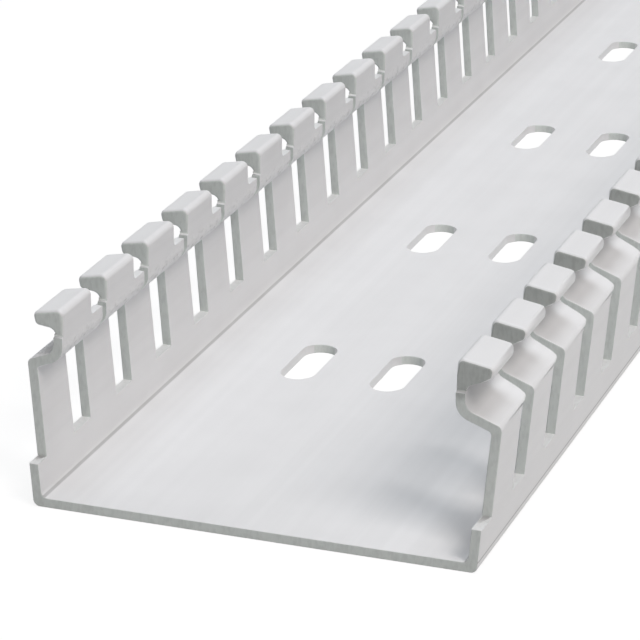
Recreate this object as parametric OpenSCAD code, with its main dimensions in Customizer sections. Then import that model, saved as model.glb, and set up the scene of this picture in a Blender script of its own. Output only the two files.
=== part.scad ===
// Slotted wire duct: the base that a press-on cover closes.
// One piece of extruded rigid PVC, open at the top, with fingers punched out of both side walls.
// X runs across the duct, Y along it and Z up. The origin is under the middle of the floor.

/* [Length and section] */
// Length that the stock is cut to
duct_length = 508; // [127:0.1:1300]
// Outside width at the shoulders, the widest place
duct_width = 57.2; // [50:0.1:110]
// Height from the underside to the crest of the lips
duct_height = 23.8; // [22:0.1:60]
// Thickness of the side walls and shoulders
wall_thickness = 1.2; // [1:0.05:1.5]
// Thickness of the floor
floor_thickness = 1.2; // [1:0.05:2]
// Lean of the left wall from the vertical, in degrees
left_wall_lean = 4.4; // [0:0.1:7]
// Lean of the right wall from the vertical, in degrees
right_wall_lean = 5.2; // [0:0.1:7]
// Radius along the two bottom edges
base_edge_radius = 0.8; // [0.3:0.05:1.1]
// Radius inside, where a side wall meets the floor
floor_corner_radius = 0.7; // [0.3:0.05:1.5]

/* [Rims that the cover grips] */
// Distance from the crest of the left lip down to the left shoulder's outer corner
left_shoulder_drop = 6.4; // [6:0.1:9]
// Distance from the crest of the right lip down to the right shoulder's outer corner
right_shoulder_drop = 7.4; // [7:0.1:9]
// How far the left neck stands in from the left shoulder's outer corner
left_neck_inset = 3.4; // [3:0.05:5]
// How far the right neck stands in from the right shoulder's outer corner
right_neck_inset = 4.35; // [3:0.05:5]
// Slope of the shoulders, in degrees
shoulder_slope = 21; // [12:0.5:26]
// Thickness of the necks
neck_thickness = 1.1; // [0.9:0.05:1.4]
// How far the left lip's outer edge stands in from the left shoulder's outer corner
left_lip_inset = 0.6; // [0.5:0.05:1.3]
// How far the right lip's outer edge stands in from the right shoulder's outer corner
right_lip_inset = 1.05; // [0.5:0.05:1.3]
// Height of the left lip's blunt outer edge
left_lip_edge = 1.6; // [1.2:0.05:1.8]
// Height of the right lip's blunt outer edge
right_lip_edge = 1.4; // [1.2:0.05:1.8]
// Fall of the lips' top from the crest outward, in degrees
lip_slope = 10; // [2:1:12]

/* [Punching of the side walls] */
// Distance from one finger to the next
finger_pitch = 12.7; // [11:0.1:20]
// Width of the slot between two fingers
slot_width = 4.9; // [4.3:0.1:5.5]
// Height of the solid strip under the slots
strip_height = 5.4; // [3:0.1:8]
// Width of the narrow gap that is left between two shoulders
gap_width = 1.1; // [0.8:0.1:2]
// Radius of each finger's rear shoulder corner, beside the gap
shoulder_round = 2.2; // [1:0.1:2.4]
// How far each head stands back from the front edge of its finger
head_setback = 0.4; // [0.3:0.1:2]
// Length of each head along the duct
head_length = 8; // [6:0.1:8.5]
// Radius of each lip's rear corner, seen from above
lip_corner_radius = 0.9; // [0.4:0.1:1.4]
// How far the right wall's punching lags behind the left wall's
punch_lag = 1.4; // [0:0.1:2]

/* [Mounting slots in the floor] */
// Width of a mounting slot
mount_slot_width = 4.6; // [3:0.1:7]
// Overall length of a mounting slot
mount_slot_length = 12.6; // [9:0.1:20]
// Distance between the rows of mounting slots
mount_row_spacing = 12.1; // [9:0.1:14]
// How far the rows stand off centre, to the right
mount_row_offset = 0.4; // [0:0.1:1]
// How far the mounting slots lag behind the fingers' pitch
mount_lag = 0.4; // [0:0.1:2]
// Fingers from one group of mounting slots to the next
fingers_per_mount = 4; // [2:1:8]

/* [Hidden] */
pvc_white = "#dcdcdc";
arc_facets = 32;
past = 1;

half_width = duct_width / 2;
slope_rise = tan(shoulder_slope);
shoulder_skin = wall_thickness / cos(shoulder_slope);

// Each wall is worked out with side = 1 for the right one and -1 for the left one, and with x
// measured outward from the middle.
function wall_lean(side) = side > 0 ? right_wall_lean : left_wall_lean;
function wall_across(side) = wall_thickness / cos(wall_lean(side));
function shoulder_height(side) = duct_height - (side > 0 ? right_shoulder_drop : left_shoulder_drop);
function neck_outer(side) = half_width - (side > 0 ? right_neck_inset : left_neck_inset);
function neck_inner(side) = neck_outer(side) - neck_thickness;

// The sharp corner that the bend is rounded from stands a little outside it.
bend_radius = 0.7;
function bend_corner(side) = half_width + bend_radius
    * ((cos(shoulder_slope) + sin(wall_lean(side))) / cos(wall_lean(side) - shoulder_slope) - 1);
function base_half_width(side) = bend_corner(side) - shoulder_height(side) * tan(wall_lean(side));

// Heights on a shoulder's two faces, and the place where the wall's inner face meets the lower.
function shoulder_top(side, x) = shoulder_height(side) + slope_rise * (bend_corner(side) - x);
function shoulder_under(side, x) = shoulder_top(side, x) - shoulder_skin;
function inner_bend(side) =
    (base_half_width(side) - wall_across(side) + tan(wall_lean(side)) * shoulder_under(side, 0))
    / (1 + tan(wall_lean(side)) * slope_rise);

// The lip hangs over from the top of the neck, and the channel under it takes the cover's edge.
// The sharp corner that the crest is rounded from stands a little above it.
function lip_outer(side) = half_width - (side > 0 ? right_lip_inset : left_lip_inset);
lip_undercut = 0.3;
crest_radius = 0.7;
lip_nose_radius = 0.6;
crest_corner = duct_height + crest_radius * (tan(lip_slope) + 1 / cos(lip_slope) - 1);
function lip_top(side) = crest_corner - (lip_outer(side) - neck_inner(side)) * tan(lip_slope);
function lip_bottom(side) = lip_top(side) - (side > 0 ? right_lip_edge : left_lip_edge);
function channel_drop(side) = side > 0 ? 1.1 : 0.3;
channel_roof_radius = 0.9;
channel_floor_radius = 1.4;
throat_radius = 2;
inner_bend_radius = 0.5;

// The notches between the heads end on the neck, just above the shoulder.
neck_stub = 1.8;
function notch_floor(side) = shoulder_top(side, neck_outer(side)) + neck_stub;
front_foot_radius = 0.3;
rear_foot_radius = 0.6;
// The roof of a slot rises from the bend towards the gap.
function slot_roof(side) = shoulder_height(side) - (side > 0 ? 0.4 : 0.8);
roof_rise = 0.8;
roof_corner_radius = 0.5;

// Corners of one wall of the section, from the floor up over the lip and down the inside:
// x, z and the radius of the arc that rounds the corner.
function wall_corners(side) = [
    [base_half_width(side), 0, base_edge_radius],
    [bend_corner(side), shoulder_height(side), bend_radius],
    [neck_outer(side), shoulder_top(side, neck_outer(side)), channel_floor_radius],
    [neck_outer(side), lip_bottom(side) - channel_drop(side), channel_roof_radius],
    [lip_outer(side) - lip_undercut, lip_bottom(side), lip_nose_radius],
    [lip_outer(side), lip_top(side), lip_nose_radius],
    [neck_inner(side), crest_corner, crest_radius],
    [neck_inner(side), shoulder_under(side, neck_inner(side)), throat_radius],
    [inner_bend(side), shoulder_under(side, inner_bend(side)), inner_bend_radius],
    [base_half_width(side) - wall_across(side) + floor_thickness * tan(wall_lean(side)), floor_thickness,
     floor_corner_radius]
];
left_corners = wall_corners(-1);
section_corners = concat(wall_corners(1), [
    for (i = [len(left_corners) - 1 : -1 : 0])
        [-left_corners[i][0], left_corners[i][1], left_corners[i][2]]
]);

function unit(v) = v / norm(v);
function corner_at(corners, i) =
    let (c = corners[(i + len(corners)) % len(corners)]) [c[0], c[1]];
function bulges(corners, i) =
    cross(corner_at(corners, i) - corner_at(corners, i - 1),
          corner_at(corners, i + 1) - corner_at(corners, i)) > 0;

// What lies between a sharp corner and the arc that rounds it, and a little beyond the corner.
// The arc meets each edge at a tenth of its turn instead of touching it, so that they cross
// at one clear point.
module corner_sliver(before, corner, after, radius) {
    u = unit(before - corner);
    v = unit(after - corner);
    half_angle = acos(u * v) / 2;
    kink = (90 - half_angle) / 10;
    arc_radius = radius * cos(half_angle) / cos(half_angle + kink);
    centre = corner + unit(u + v) * arc_radius * cos(kink) / sin(half_angle);
    foot = arc_radius * cos(kink) / tan(half_angle);
    beyond = 1.2;
    difference() {
        polygon([
            centre,
            centre + beyond * (corner + v * foot - centre),
            centre + beyond * (corner - centre),
            centre + beyond * (corner + u * foot - centre)
        ]);
        translate(centre) circle(r = arc_radius, $fn = arc_facets);
    }
}

module corner_slivers(corners, bulging) {
    for (i = [0 : len(corners) - 1])
        if (corners[i][2] > 0 && bulges(corners, i) == bulging)
            corner_sliver(corner_at(corners, i - 1), corner_at(corners, i),
                          corner_at(corners, i + 1), corners[i][2]);
}

// An outline with each corner rounded to its own radius, or sharp where that is 0.
module rounded_outline(corners) {
    difference() {
        union() {
            polygon([for (c = corners) [c[0], c[1]]]);
            corner_slivers(corners, false);
        }
        corner_slivers(corners, true);
    }
}

// The plain extrusion before punching, from the near end at y = 0.
module extrusion() {
    translate([0, duct_length, 0])
        rotate([90, 0, 0])
            linear_extrude(duct_length) rounded_outline(section_corners);
}

// One punched opening seen from the side, as y, z and corner radius, with the next finger's
// front edge at y = 0: the slot, the gap between two shoulders and the notch between two heads.
module punched_opening(side) {
    crown = duct_height + past;
    head_back = head_setback - (finger_pitch - head_length);
    rounded_outline([
        [0, strip_height, 0],
        [0, notch_floor(side), 0],
        [head_setback, notch_floor(side), front_foot_radius],
        [head_setback, crown, 0],
        [head_back, crown, 0],
        [head_back, notch_floor(side), rear_foot_radius],
        [-gap_width, notch_floor(side), 0],
        [-gap_width, slot_roof(side) + roof_rise, shoulder_round],
        [-slot_width, slot_roof(side), roof_corner_radius],
        [-slot_width, strip_height, 0]
    ]);
}

// At the near end the cut takes everything in front of the first finger.
module end_opening(side) {
    crown = duct_height + past;
    rounded_outline([
        [-finger_pitch, strip_height, 0],
        [0, strip_height, 0],
        [0, notch_floor(side), 0],
        [head_setback, notch_floor(side), front_foot_radius],
        [head_setback, crown, 0],
        [-finger_pitch, crown, 0]
    ]);
}

// A side view swept across one wall.
module across_wall(side) {
    inside = neck_inner(side) - past;
    translate([side > 0 ? inside : -half_width - past, 0, 0])
        rotate([90, 0, 90])
            linear_extrude(half_width + past - inside) children();
}

// Front edge of the first whole finger, where the stock was cut through the middle of a slot.
function first_finger(side) = slot_width / 2 + (side > 0 ? punch_lag : 0);

module wall_punching(side) {
    across_wall(side) {
        translate([first_finger(side), 0]) end_opening(side);
        for (y = [first_finger(side) + finger_pitch : finger_pitch : duct_length + slot_width])
            translate([y, 0]) punched_opening(side);
    }
}

// What rounds the rear outer corners of the lips, seen from above.
module lip_corners(side) {
    rear = first_finger(side) + head_setback + head_length;
    translate([0, 0, notch_floor(side)])
        linear_extrude(duct_height + past - notch_floor(side))
            for (y = [rear : finger_pitch : duct_length])
                corner_sliver([side * lip_outer(side), y - 1], [side * lip_outer(side), y],
                              [side * (lip_outer(side) - 1), y], lip_corner_radius);
}

module mounting_slot() {
    straight = mount_slot_length - mount_slot_width;
    translate([0, 0, -past])
        linear_extrude(floor_thickness + 2 * past) {
            square([mount_slot_width, straight], center = true);
            for (end = [-1, 1])
                translate([0, end * straight / 2])
                    circle(d = mount_slot_width, $fn = arc_facets);
        }
}

module mounting_slots() {
    mount_pitch = fingers_per_mount * finger_pitch;
    for (y = [mount_pitch + mount_lag : mount_pitch : duct_length - mount_slot_length])
        for (row = [-1, 0, 1])
            translate([mount_row_offset + row * mount_row_spacing, y, 0]) mounting_slot();
}

module duct_base() {
    color(pvc_white)
        translate([0, -duct_length / 2, 0])
            difference() {
                extrusion();
                for (side = [-1, 1]) {
                    wall_punching(side);
                    lip_corners(side);
                }
                mounting_slots();
            }
}

duct_base();
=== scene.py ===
"""Rolled edges, finish and studio for a slotted wire duct in extruded rigid PVC."""

import math

import bmesh
import bpy
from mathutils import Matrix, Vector


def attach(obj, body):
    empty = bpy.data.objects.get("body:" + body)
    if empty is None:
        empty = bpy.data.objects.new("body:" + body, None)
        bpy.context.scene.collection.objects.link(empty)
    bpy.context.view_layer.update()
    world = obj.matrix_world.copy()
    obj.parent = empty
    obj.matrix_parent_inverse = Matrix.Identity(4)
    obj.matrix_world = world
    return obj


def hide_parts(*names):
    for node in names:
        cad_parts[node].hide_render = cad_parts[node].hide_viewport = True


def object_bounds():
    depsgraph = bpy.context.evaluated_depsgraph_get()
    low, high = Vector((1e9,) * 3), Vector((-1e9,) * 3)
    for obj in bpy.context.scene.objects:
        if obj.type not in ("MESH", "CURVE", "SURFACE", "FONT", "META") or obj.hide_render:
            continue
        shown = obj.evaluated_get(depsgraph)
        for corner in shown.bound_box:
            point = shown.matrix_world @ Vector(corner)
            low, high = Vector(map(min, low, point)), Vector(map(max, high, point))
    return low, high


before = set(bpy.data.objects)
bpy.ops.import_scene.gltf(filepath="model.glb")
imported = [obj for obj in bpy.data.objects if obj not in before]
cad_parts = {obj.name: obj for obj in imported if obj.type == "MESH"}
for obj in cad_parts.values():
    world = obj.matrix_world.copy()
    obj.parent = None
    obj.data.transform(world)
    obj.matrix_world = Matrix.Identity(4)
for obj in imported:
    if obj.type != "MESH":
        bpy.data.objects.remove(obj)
cad_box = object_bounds()

bl_info = {
    "name": "Slotted Wire Duct Finish",
    "version": (1, 0, 0),
    "blender": (4, 5, 0),
    "location": "3D View > Sidebar > Wire Duct",
    "description": "Rolls over a slotted wire duct's punched edges and gives it its rigid PVC",
    "category": "Object",
}

MM = 0.001
NEAR_END = cad_box[0][1]
CREST = cad_box[1][2]
PIECE = "punched_duct"

# The material slots of the piece, in their order
SKIN, CUT, SLOT_BOTTOM_LIGHT = range(3)

# How the copied mesh is cleaned, which of its edges count as sharp, and how it is shaded
WELD_DISTANCE = 0.002 * MM
FLAT_ANGLE = math.radians(0.4)
SHARP_ANGLE = math.radians(50)
SMOOTH_ANGLE = math.radians(32)
ROUNDING_STEPS = 3

# A face is a cut one, or the bottom of a slot, when it squarely faces along Y or up
CUT_FACE_TURN = 0.8
SLOT_BOTTOM_TURN = 0.9
SLOT_BOTTOM_HEIGHTS = (5.0 * MM, 5.8 * MM)

# Where a mark begins, is full, begins to fade and ends: up from the underside, or out from the
# middle of the duct
# A thin darker line along the inner feet of the walls
FOOT_LINE_HEIGHTS = (1.22 * MM, 1.3 * MM, 1.42 * MM, 1.56 * MM)
FOOT_LINE_REACH = (24.5 * MM, 25.5 * MM, 27.7 * MM, 27.9 * MM)
RUCK_HEIGHTS = (16.4 * MM, 17.6 * MM, 18.6 * MM, 20.4 * MM)
# Painted shade in the hollows under the right lips
PAINTED_SHADE_HEIGHTS = (16.2 * MM, 17.2 * MM, 20.0 * MM, 20.6 * MM)
PAINTED_SHADE_REACH = (22.6 * MM, 22.9 * MM, 24.0 * MM, 25.9 * MM)

# Where a one-sided mark begins and is full
# The fronts of the right heads are made darker
RIGHT_FRONT_HEIGHTS = (18.6 * MM, 19.8 * MM)
SIDE_STEP = 1.0 * MM

# How far the patterns are drawn out: along the duct, across a ruck, and down with the punch
DIE_LINE_STRETCH = 150
SMEAR_STRETCH = 1.8
STROKE_STRETCH = 2.5

STRAIN_SIZE = 0.6 * MM
DIE_LINE_DEPTH = 0.02 * MM
RUCK_DEPTH = 0.35 * MM
TEAR_DEPTH = 0.08 * MM

RIGID_PVC_IOR = 1.53
CUT_ROUGHNESS = 0.7
SLOT_BOTTOM_ROUGHNESS = 0.6

WHITE = "#ffffff"
COOL_LIGHT = "#f5faff"
WARM_LIGHT = "#fff9f5"
FLOOR_WIDTH = 40.0
LIT_PLACE = Vector((0.0, NEAR_END + 0.15, 0.0))
TOP_LIGHT_PLACE = LIT_PLACE + Vector((0.0, 0.1, 1.5))
TOP_LIGHT_WIDTH = 0.8
KEY_LIGHT_PLACE = LIT_PLACE + Vector((0.9, -0.6, 1.2))
KEY_LIGHT_WIDTH = 0.7
CAMERA_PLACE = Vector((123.48 * MM, NEAR_END - 314.25 * MM, 156.12 * MM))
CAMERA_SHIFT = (0.02, -0.0026)
SENSOR_WIDTH = 36.0
NEAREST_SEEN = 10 * MM


# Helpers ---------------------------------------------------------------------------------

def srgb(hex_colour):
    """A #rrggbb colour as the linear values that Blender works in."""
    channels = (int(hex_colour[i:i + 2], 16) / 255 for i in (1, 3, 5))
    linear = [c / 12.92 if c <= 0.04045 else ((c + 0.055) / 1.055) ** 2.4 for c in channels]
    return (*linear, 1.0)


def add_node(tree, kind, inputs=None, **settings):
    """Adds a node, sets its properties, and sets or links its inputs by name or number."""
    node = tree.nodes.new(kind)
    for name, value in settings.items():
        setattr(node, name, value)
    for key, value in (inputs or {}).items():
        socket = node.inputs[key]
        if isinstance(value, bpy.types.NodeSocket):
            tree.links.new(value, socket)
        else:
            socket.default_value = value
    return node


def new_material(name):
    """An empty node material and its output node."""
    material = bpy.data.materials.new(name)
    material.use_nodes = True
    material.node_tree.nodes.clear()
    return material, add_node(material.node_tree, "ShaderNodeOutputMaterial")


# Settings --------------------------------------------------------------------------------

class DuctEdgeSettings(bpy.types.PropertyGroup):
    """What a user would change about the punched and sawn edges."""
    head_round: bpy.props.FloatProperty(
        name="Head rounding", default=0.42 * MM, min=0.05 * MM, max=0.6 * MM, unit="LENGTH",
        description="Width of the rounding that the punch rolls onto the fronts of the heads")
    edge_round: bpy.props.FloatProperty(
        name="Edge rounding", default=0.12 * MM, min=0.02 * MM, max=0.3 * MM, unit="LENGTH",
        description="Width of the rounding along the slots and the sawn ends")
    left_head_depth: bpy.props.FloatProperty(
        name="Left head depth", default=3.0 * MM, min=1 * MM, unit="LENGTH",
        description="How far down from their crest the left heads take the full rounding")
    right_head_depth: bpy.props.FloatProperty(
        name="Right head depth", default=2.6 * MM, min=1 * MM, unit="LENGTH",
        description="How far down from their crest the right heads take the full rounding")
    joint_gap: bpy.props.FloatProperty(
        name="Joint gap", default=2.0 * MM, min=0.5 * MM, unit="LENGTH",
        description="Height left sharp below the heads, where they step in to the necks")


class DuctFinishSettings(bpy.types.PropertyGroup):
    """What a user would change about the plastic."""
    skin_colour: bpy.props.StringProperty(
        name="Skin colour", default="#eeeeef",
        description="Colour of the extruded surface, as an sRGB hex value")
    cut_colour: bpy.props.StringProperty(
        name="Cut colour", default="#e2e7e4",
        description="Colour of the punched and sawn faces, as an sRGB hex value")
    # The slot bottoms' paler colour is painted light
    slot_bottom_colour: bpy.props.StringProperty(
        name="Painted light colour", default="#f3f4f4",
        description="Colour of the brightened slot bottoms, as an sRGB hex value")
    roughness: bpy.props.FloatProperty(
        name="Roughness", default=0.45, min=0.05, max=1.0, subtype="FACTOR",
        description="How matt the extruded surface is")
    # Darkens a thin line along the inner feet of the walls
    foot_line: bpy.props.FloatProperty(
        name="Foot line", default=0.36, min=0.0, max=1.0, subtype="FACTOR",
        description="How much the dust darkens the inner corners")
    # Painted shade in the hollows under the right lips
    painted_lip_shade: bpy.props.FloatProperty(
        name="Painted lip shade", default=0.34, min=0.0, max=1.0, subtype="FACTOR",
        description="How much the grime darkens the hollows under the right lips")
    right_front_darkening: bpy.props.FloatProperty(
        name="Right front darkening", default=0.3, min=0.0, max=1.0, subtype="FACTOR",
        description="How much darker than other cut faces the fronts of the right heads are")
    die_line_pitch: bpy.props.FloatProperty(
        name="Die line pitch", default=1.6 * MM, min=0.1 * MM, unit="LENGTH",
        description="Distance across the duct between the faint lines that the die leaves")
    cloud_size: bpy.props.FloatProperty(
        name="Cloud size", default=9.0 * MM, min=1.0 * MM, unit="LENGTH",
        description="Size of the clouds in the plastic's tone")
    smear_size: bpy.props.FloatProperty(
        name="Smear size", default=0.55 * MM, min=0.1 * MM, unit="LENGTH",
        description="Size of the smears where the punch rucks the skin")
    tear_size: bpy.props.FloatProperty(
        name="Tear size", default=0.45 * MM, min=0.1 * MM, unit="LENGTH",
        description="Size of the small tears in the cut faces")


class StudioSettings(bpy.types.PropertyGroup):
    """What a user would change about the studio and the view."""
    floor_colour: bpy.props.StringProperty(
        name="Floor colour", default="#d8d8d8",
        description="Colour of the paper floor, as an sRGB hex value")
    shade_colour: bpy.props.StringProperty(
        name="Shade colour", default="#7c7c7c",
        description="The part of the seen floor that light and shadow change, as sRGB hex")
    floor_lift: bpy.props.FloatProperty(
        name="Floor lift", default=0.86, min=0.0, max=1.0, subtype="FACTOR",
        description="The part of the seen floor's white that shadow doesn't change")
    top_light: bpy.props.FloatProperty(
        name="Top light", default=10.25, min=0.0, unit="POWER",
        description="Power of the soft light overhead")
    key_light: bpy.props.FloatProperty(
        name="Key light", default=12.14, min=0.0, unit="POWER",
        description="Power of the soft light high on the right, in front")
    fill: bpy.props.FloatProperty(
        name="Fill", default=0.0732, min=0.0,
        description="Strength of the even light from all round")
    lens: bpy.props.FloatProperty(
        name="Lens", default=182.08, min=20.0, unit="CAMERA",
        description="Focal length of the camera, in millimetres on a 36 mm sensor")
    elevation: bpy.props.FloatProperty(
        name="Elevation", default=math.radians(20.92), unit="ROTATION",
        description="How steeply the camera looks down on the duct")
    azimuth: bpy.props.FloatProperty(
        name="Azimuth", default=math.radians(20.28), unit="ROTATION",
        description="How far the camera stands to the right of the duct's near end")
    roll: bpy.props.FloatProperty(
        name="Roll", default=math.radians(0.15), unit="ROTATION",
        description="How far the camera leans to one side")


# Operators -------------------------------------------------------------------------------

class DUCT_OT_edges(bpy.types.Operator):
    """Copies the duct base and rolls over the edges that the punch and the saw left"""
    bl_idname = "duct.edges"
    bl_label = "Roll the punched edges"

    def execute(self, context):
        settings = context.scene.duct_edges
        piece = copy_of_node("duct_base", PIECE)
        weigh_edges(piece, settings)
        roll_edges(piece, settings.head_round)
        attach(piece, "root")
        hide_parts("duct_base")
        return {"FINISHED"}


class DUCT_OT_finish(bpy.types.Operator):
    """Gives the duct base's skin and cut faces their rigid PVC, and the slot bottoms a paler one
    that paints light on them
    """
    bl_idname = "duct.finish"
    bl_label = "Finish the duct base"

    def execute(self, context):
        settings = context.scene.duct_finish
        piece = bpy.data.objects[PIECE]
        piece.data.materials.clear()
        for make in (extruded_pvc, cut_pvc, painted_light_pvc):
            piece.data.materials.append(make(settings))
        lowest, highest = SLOT_BOTTOM_HEIGHTS
        for face in piece.data.polygons:
            if abs(face.normal.y) > CUT_FACE_TURN:
                face.material_index = CUT
            # Up-facing slot bottoms get a paler material: painted light
            elif face.normal.z > SLOT_BOTTOM_TURN and lowest < face.center.z < highest:
                face.material_index = SLOT_BOTTOM_LIGHT
            else:
                face.material_index = SKIN
        return {"FINISHED"}


class DUCT_OT_studio(bpy.types.Operator):
    """Lays a pale floor and sets the lights and the camera"""
    bl_idname = "duct.studio"
    bl_label = "Set the studio"

    def execute(self, context):
        settings = context.scene.duct_studio
        context.scene.view_settings.view_transform = "Standard"
        lay_floor(settings)
        set_lights(context.scene, settings)
        set_camera(context.scene, settings)
        return {"FINISHED"}


class DUCT_PT_panel(bpy.types.Panel):
    """Lists the operators and their settings"""
    bl_label = "Wire Duct"
    bl_idname = "DUCT_PT_panel"
    bl_space_type = "VIEW_3D"
    bl_region_type = "UI"
    bl_category = "Wire Duct"

    def draw(self, context):
        for operator, group in ((DUCT_OT_edges, context.scene.duct_edges),
                                (DUCT_OT_finish, context.scene.duct_finish),
                                (DUCT_OT_studio, context.scene.duct_studio)):
            box = self.layout.box()
            for name in group.__annotations__:
                box.prop(group, name)
            box.operator(operator.bl_idname)


# Shaping ---------------------------------------------------------------------------------

def copy_of_node(node, name):
    """A copy of a CAD node with its triangles welded and merged into flat faces, selected."""
    bpy.ops.object.select_all(action="DESELECT")
    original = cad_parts[node]
    original.select_set(True)
    bpy.context.view_layer.objects.active = original
    bpy.ops.object.duplicate()
    piece = bpy.context.object
    piece.name = name
    bpy.ops.object.mode_set(mode="EDIT")
    bpy.ops.mesh.select_all(action="SELECT")
    bpy.ops.mesh.remove_doubles(threshold=WELD_DISTANCE)
    bpy.ops.mesh.dissolve_limited(angle_limit=FLAT_ANGLE)
    bpy.ops.object.mode_set(mode="OBJECT")
    return piece


def weigh_edges(piece, settings):
    """Marks each outward edge of a punched or sawn face with its share of the heads' rounding.

    The fronts of the heads take all of it. The backs, and the steps where the heads meet the
    necks, stay sharp, because a rounding would fold over itself there."""
    mesh = bmesh.new()
    mesh.from_mesh(piece.data)
    weight = mesh.edges.layers.float.new("bevel_weight_edge")
    small = settings.edge_round / settings.head_round
    for edge in mesh.edges:
        if len(edge.link_faces) != 2 or not edge.is_convex:
            continue
        cut = max(edge.link_faces, key=lambda face: abs(face.normal.y))
        if abs(cut.normal.y) < CUT_FACE_TURN or edge.calc_face_angle() < SHARP_ANGLE:
            continue
        right = edge.verts[0].co.x > 0
        head_foot = CREST - (settings.right_head_depth if right else settings.left_head_depth)
        low, high = sorted(vertex.co.z for vertex in edge.verts)
        if low > head_foot:
            edge[weight] = 1.0 if cut.normal.y < 0 else 0.0
        elif high < head_foot - settings.joint_gap or low < settings.joint_gap:
            edge[weight] = small
    marked = sum(edge[weight] > 0 for edge in mesh.edges)
    mesh.to_mesh(piece.data)
    mesh.free()
    if not marked:
        raise RuntimeError("no punched or sawn edge was found")


def roll_edges(piece, width):
    """Rounds the marked edges and smooths the shading."""
    bpy.ops.object.modifier_add(type="BEVEL")
    bevel = piece.modifiers[-1]
    bevel.limit_method = "WEIGHT"
    bevel.width = width
    bevel.segments = ROUNDING_STEPS
    bevel.use_clamp_overlap = False
    bpy.ops.object.modifier_apply(modifier=bevel.name)
    bpy.ops.object.shade_smooth_by_angle(angle=SMOOTH_ANGLE)
    bpy.ops.object.modifier_add(type="WEIGHTED_NORMAL")
    normals = piece.modifiers[-1]
    normals.keep_sharp = True
    bpy.ops.object.modifier_apply(modifier=normals.name)


# Materials -------------------------------------------------------------------------------

def share(tree, value, start, full, depth=1.0, masks=()):
    """None where the value is at start, rising smoothly to depth at full, within the masks."""
    result = add_node(tree, "ShaderNodeMapRange", {
        "Value": value, "From Min": start, "From Max": full, "To Min": 0.0, "To Max": depth},
        interpolation_type="SMOOTHSTEP").outputs[0]
    for mask in masks:
        result = add_node(tree, "ShaderNodeMath", {0: result, 1: mask},
                          operation="MULTIPLY").outputs[0]
    return result


def band(tree, value, limits, depth=1.0, masks=()):
    """As share, but fading out again: it begins, is full, begins to fade and ends."""
    start, full, fading, end = limits
    rising = share(tree, value, start, full)
    return share(tree, value, end, fading, depth, (rising, *masks))


def darkened(tree, colour, shares):
    """The colour, made darker by the sum of the shares."""
    total = shares[0]
    for part in shares[1:]:
        total = add_node(tree, "ShaderNodeMath", {0: total, 1: part}, operation="ADD").outputs[0]
    return add_node(tree, "ShaderNodeMix", {
        "Factor": total, "A": srgb(colour), "B": srgb("#000000")},
        data_type="RGBA").outputs["Result"]


def extruded_pvc(settings):
    """Extruded rigid PVC: pale and satin. The die leaves faint lines along it, a thin grey line
    darkens the inner corners, painted shade darkens the hollows under the right lips, and
    the punch rucks the skin under the left heads."""
    material, output = new_material("extruded_rigid_pvc")
    tree = material.node_tree
    place = add_node(tree, "ShaderNodeTexCoord").outputs["Object"]
    axes = add_node(tree, "ShaderNodeSeparateXYZ", {0: place})
    across, height = axes.outputs[0], axes.outputs[2]
    outward = add_node(tree, "ShaderNodeMath", {0: across}, operation="ABSOLUTE").outputs[0]
    # Real die lines lie too close together to show, so they are drawn coarser
    along = add_node(tree, "ShaderNodeMapping", {
        "Vector": place, "Scale": (1.0, 1 / DIE_LINE_STRETCH, 1.0)})
    die_lines = add_node(tree, "ShaderNodeTexNoise", {
        "Vector": along.outputs[0], "Scale": 1 / settings.die_line_pitch,
        "Detail": 3.0}).outputs[0]
    clouds = add_node(tree, "ShaderNodeTexNoise", {
        "Vector": place, "Scale": 1 / settings.cloud_size, "Detail": 3.0}).outputs[0]
    drawn_out = add_node(tree, "ShaderNodeMapping", {
        "Vector": place, "Scale": (1.0, 1 / SMEAR_STRETCH, 1.0)})
    smears = add_node(tree, "ShaderNodeTexNoise", {
        "Vector": drawn_out.outputs[0], "Scale": 1 / settings.smear_size,
        "Detail": 4.0}).outputs[0]
    left = share(tree, across, 0.0, -SIDE_STEP)
    rucks = band(tree, height, RUCK_HEIGHTS, masks=(left,))
    colour = darkened(tree, settings.skin_colour, (
        # A thin darker line along the inner feet of the walls
        band(tree, height, FOOT_LINE_HEIGHTS, settings.foot_line, (band(tree, outward, FOOT_LINE_REACH),)),
        # Painted shade in the hollows under the right lips
        band(tree, height, PAINTED_SHADE_HEIGHTS, settings.painted_lip_shade, (band(tree, across, PAINTED_SHADE_REACH),)),
        share(tree, smears, 0.5, 0.68, 0.22, (rucks,)),
        share(tree, die_lines, 0.3, 0.7, 0.03),
        share(tree, clouds, 0.35, 0.65, 0.02)))
    lines = add_node(tree, "ShaderNodeBump", {
        "Height": die_lines, "Strength": 0.35, "Distance": DIE_LINE_DEPTH})
    rucked = add_node(tree, "ShaderNodeMath", {0: smears, 1: rucks}, operation="MULTIPLY")
    relief = add_node(tree, "ShaderNodeBump", {
        "Height": rucked.outputs[0], "Strength": 1.0, "Distance": RUCK_DEPTH,
        "Normal": lines.outputs[0]})
    shader = add_node(tree, "ShaderNodeBsdfPrincipled", {
        "Base Color": colour, "Roughness": settings.roughness, "IOR": RIGID_PVC_IOR,
        "Normal": relief.outputs[0]})
    tree.links.new(shader.outputs[0], output.inputs["Surface"])
    return material


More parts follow.
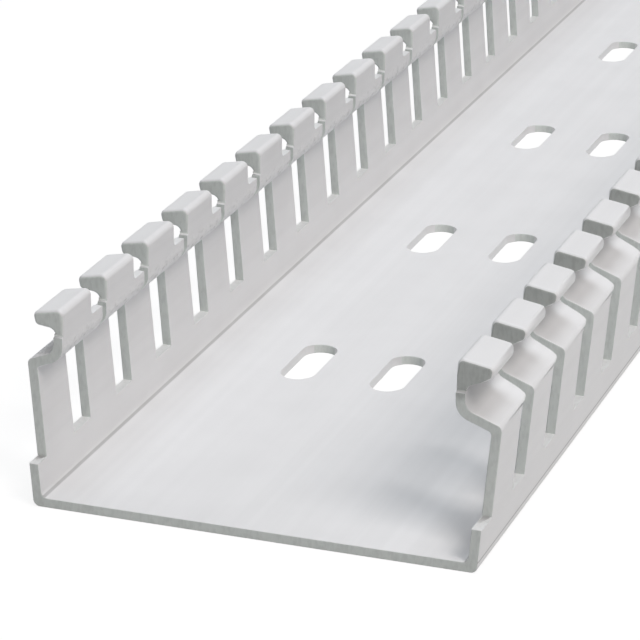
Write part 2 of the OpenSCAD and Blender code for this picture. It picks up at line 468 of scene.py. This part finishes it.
def cut_pvc(settings):
    """Punched or sawn rigid PVC: the shear leaves it greyer and more matt than the skin, with
    fine tears, and the fronts of the right heads are made darker than the other cut faces."""
    material, output = new_material("punched_rigid_pvc")
    tree = material.node_tree
    place = add_node(tree, "ShaderNodeTexCoord").outputs["Object"]
    axes = add_node(tree, "ShaderNodeSeparateXYZ", {0: place})
    across, height = axes.outputs[0], axes.outputs[2]
    # The tears run with the stroke of the punch. Real ones are too fine to show, so they are
    # drawn coarser
    drawn_down = add_node(tree, "ShaderNodeMapping", {
        "Vector": place, "Scale": (1.0, 1.0, 1 / STROKE_STRETCH)})
    tears = add_node(tree, "ShaderNodeTexNoise", {
        "Vector": drawn_down.outputs[0], "Scale": 1 / settings.tear_size,
        "Detail": 4.0}).outputs[0]
    right = share(tree, across, 0.0, SIDE_STEP)
    colour = darkened(tree, settings.cut_colour, (
        # The fronts of the right heads are made darker
        share(tree, height, *RIGHT_FRONT_HEIGHTS, settings.right_front_darkening, (right,)),
        share(tree, tears, 0.4, 0.7, 0.09)))
    relief = add_node(tree, "ShaderNodeBump", {
        "Height": tears, "Strength": 0.6, "Distance": TEAR_DEPTH})
    shader = add_node(tree, "ShaderNodeBsdfPrincipled", {
        "Base Color": colour, "Roughness": CUT_ROUGHNESS, "IOR": RIGID_PVC_IOR,
        "Normal": relief.outputs[0]})
    tree.links.new(shader.outputs[0], output.inputs["Surface"])
    return material


def painted_light_pvc(settings):
    """Rigid PVC for the up-facing slot bottoms, with fine tears, made paler than the skin:
    painted light.
    """
    material, output = new_material("painted_light_slot_bottom_pvc")
    tree = material.node_tree
    place = add_node(tree, "ShaderNodeTexCoord").outputs["Object"]
    tears = add_node(tree, "ShaderNodeTexNoise", {
        "Vector": place, "Scale": 1 / STRAIN_SIZE, "Detail": 4.0}).outputs[0]
    colour = darkened(tree, settings.slot_bottom_colour, (share(tree, tears, 0.4, 0.7, 0.06),))
    relief = add_node(tree, "ShaderNodeBump", {
        "Height": tears, "Strength": 0.6, "Distance": TEAR_DEPTH})
    shader = add_node(tree, "ShaderNodeBsdfPrincipled", {
        "Base Color": colour, "Roughness": SLOT_BOTTOM_ROUGHNESS, "IOR": RIGID_PVC_IOR,
        "Normal": relief.outputs[0]})
    tree.links.new(shader.outputs[0], output.inputs["Surface"])
    return material


def seen_rays(tree):
    """1 for what the camera sees, straight or in a gloss, and 0 for all other light."""
    rays = add_node(tree, "ShaderNodeLightPath")
    seen = add_node(tree, "ShaderNodeMath", {
        0: rays.outputs["Is Camera Ray"], 1: rays.outputs["Is Glossy Ray"]}, operation="MAXIMUM")
    return seen.outputs[0]


def studio_paper(settings):
    """Seamless studio paper: matt and pale. What the camera sees of it, straight or in a gloss,
    is lifted to white where the light falls and stays darker where the duct shades it."""
    material, output = new_material("seamless_paper")
    tree = material.node_tree
    paper = add_node(tree, "ShaderNodeBsdfDiffuse", {"Color": srgb(settings.floor_colour)})
    shaded = add_node(tree, "ShaderNodeBsdfDiffuse", {"Color": srgb(settings.shade_colour)})
    glow = add_node(tree, "ShaderNodeEmission", {
        "Color": srgb(WHITE), "Strength": settings.floor_lift})
    lifted = add_node(tree, "ShaderNodeAddShader", {0: shaded.outputs[0], 1: glow.outputs[0]})
    mix = add_node(tree, "ShaderNodeMixShader", {
        "Fac": seen_rays(tree), 1: paper.outputs[0], 2: lifted.outputs[0]})
    tree.links.new(mix.outputs[0], output.inputs["Surface"])
    return material


# Studio ----------------------------------------------------------------------------------

def lay_floor(settings):
    """A wide paper floor that the duct lies on."""
    bpy.ops.object.select_all(action="DESELECT")
    bpy.ops.mesh.primitive_plane_add(size=FLOOR_WIDTH, location=(0.0, 0.0, 0.0))
    floor = bpy.context.object
    floor.name = "studio_floor"
    floor.data.materials.append(studio_paper(settings))


def area_light(name, place, width, power, colour):
    """A square soft light, aimed at the lit part of the duct."""
    bpy.ops.object.select_all(action="DESELECT")
    bpy.ops.object.light_add(type="AREA", location=place)
    light = bpy.context.object
    light.name = name
    light.rotation_euler = (LIT_PLACE - place).to_track_quat("-Z", "Y").to_euler()
    light.data.shape = "SQUARE"
    light.data.size = width
    light.data.color = srgb(colour)[:3]
    light.data.energy = power


def set_lights(scene, settings):
    """A cool light overhead, a warmer one high on the right, and a world that fills in a little
    and looks white."""
    area_light("top_light", TOP_LIGHT_PLACE, TOP_LIGHT_WIDTH, settings.top_light, COOL_LIGHT)
    area_light("key_light", KEY_LIGHT_PLACE, KEY_LIGHT_WIDTH, settings.key_light, WARM_LIGHT)
    world = bpy.data.worlds.new("studio")
    scene.world = world
    world.use_nodes = True
    tree = world.node_tree
    tree.nodes.clear()
    even = add_node(tree, "ShaderNodeBackground", {
        "Color": srgb(COOL_LIGHT), "Strength": settings.fill})
    white = add_node(tree, "ShaderNodeBackground", {"Color": srgb(WHITE), "Strength": 1.0})
    mix = add_node(tree, "ShaderNodeMixShader", {
        "Fac": seen_rays(tree), 1: even.outputs[0], 2: white.outputs[0]})
    add_node(tree, "ShaderNodeOutputWorld", {"Surface": mix.outputs[0]})


def set_camera(scene, settings):
    """Looks along the duct from above its near right corner."""
    bpy.ops.object.select_all(action="DESELECT")
    bpy.ops.object.camera_add(
        location=CAMERA_PLACE,
        rotation=(math.pi / 2 - settings.elevation, settings.roll, settings.azimuth))
    camera = bpy.context.object
    camera.name = "camera"
    camera.data.sensor_width = SENSOR_WIDTH
    camera.data.lens = settings.lens
    camera.data.shift_x, camera.data.shift_y = CAMERA_SHIFT
    camera.data.clip_start = NEAREST_SEEN
    scene.camera = camera


# Add-on ----------------------------------------------------------------------------------

CLASSES = (DuctEdgeSettings, DuctFinishSettings, StudioSettings,
           DUCT_OT_edges, DUCT_OT_finish, DUCT_OT_studio, DUCT_PT_panel)


def register():
    for cls in CLASSES:
        bpy.utils.register_class(cls)
    bpy.types.Scene.duct_edges = bpy.props.PointerProperty(type=DuctEdgeSettings)
    bpy.types.Scene.duct_finish = bpy.props.PointerProperty(type=DuctFinishSettings)
    bpy.types.Scene.duct_studio = bpy.props.PointerProperty(type=StudioSettings)


def unregister():
    del bpy.types.Scene.duct_studio
    del bpy.types.Scene.duct_finish
    del bpy.types.Scene.duct_edges
    for cls in reversed(CLASSES):
        bpy.utils.unregister_class(cls)


def main():
    register()
    bpy.ops.duct.edges()
    bpy.ops.duct.finish()
    bpy.ops.duct.studio()


if __name__ == "__main__":
    main()
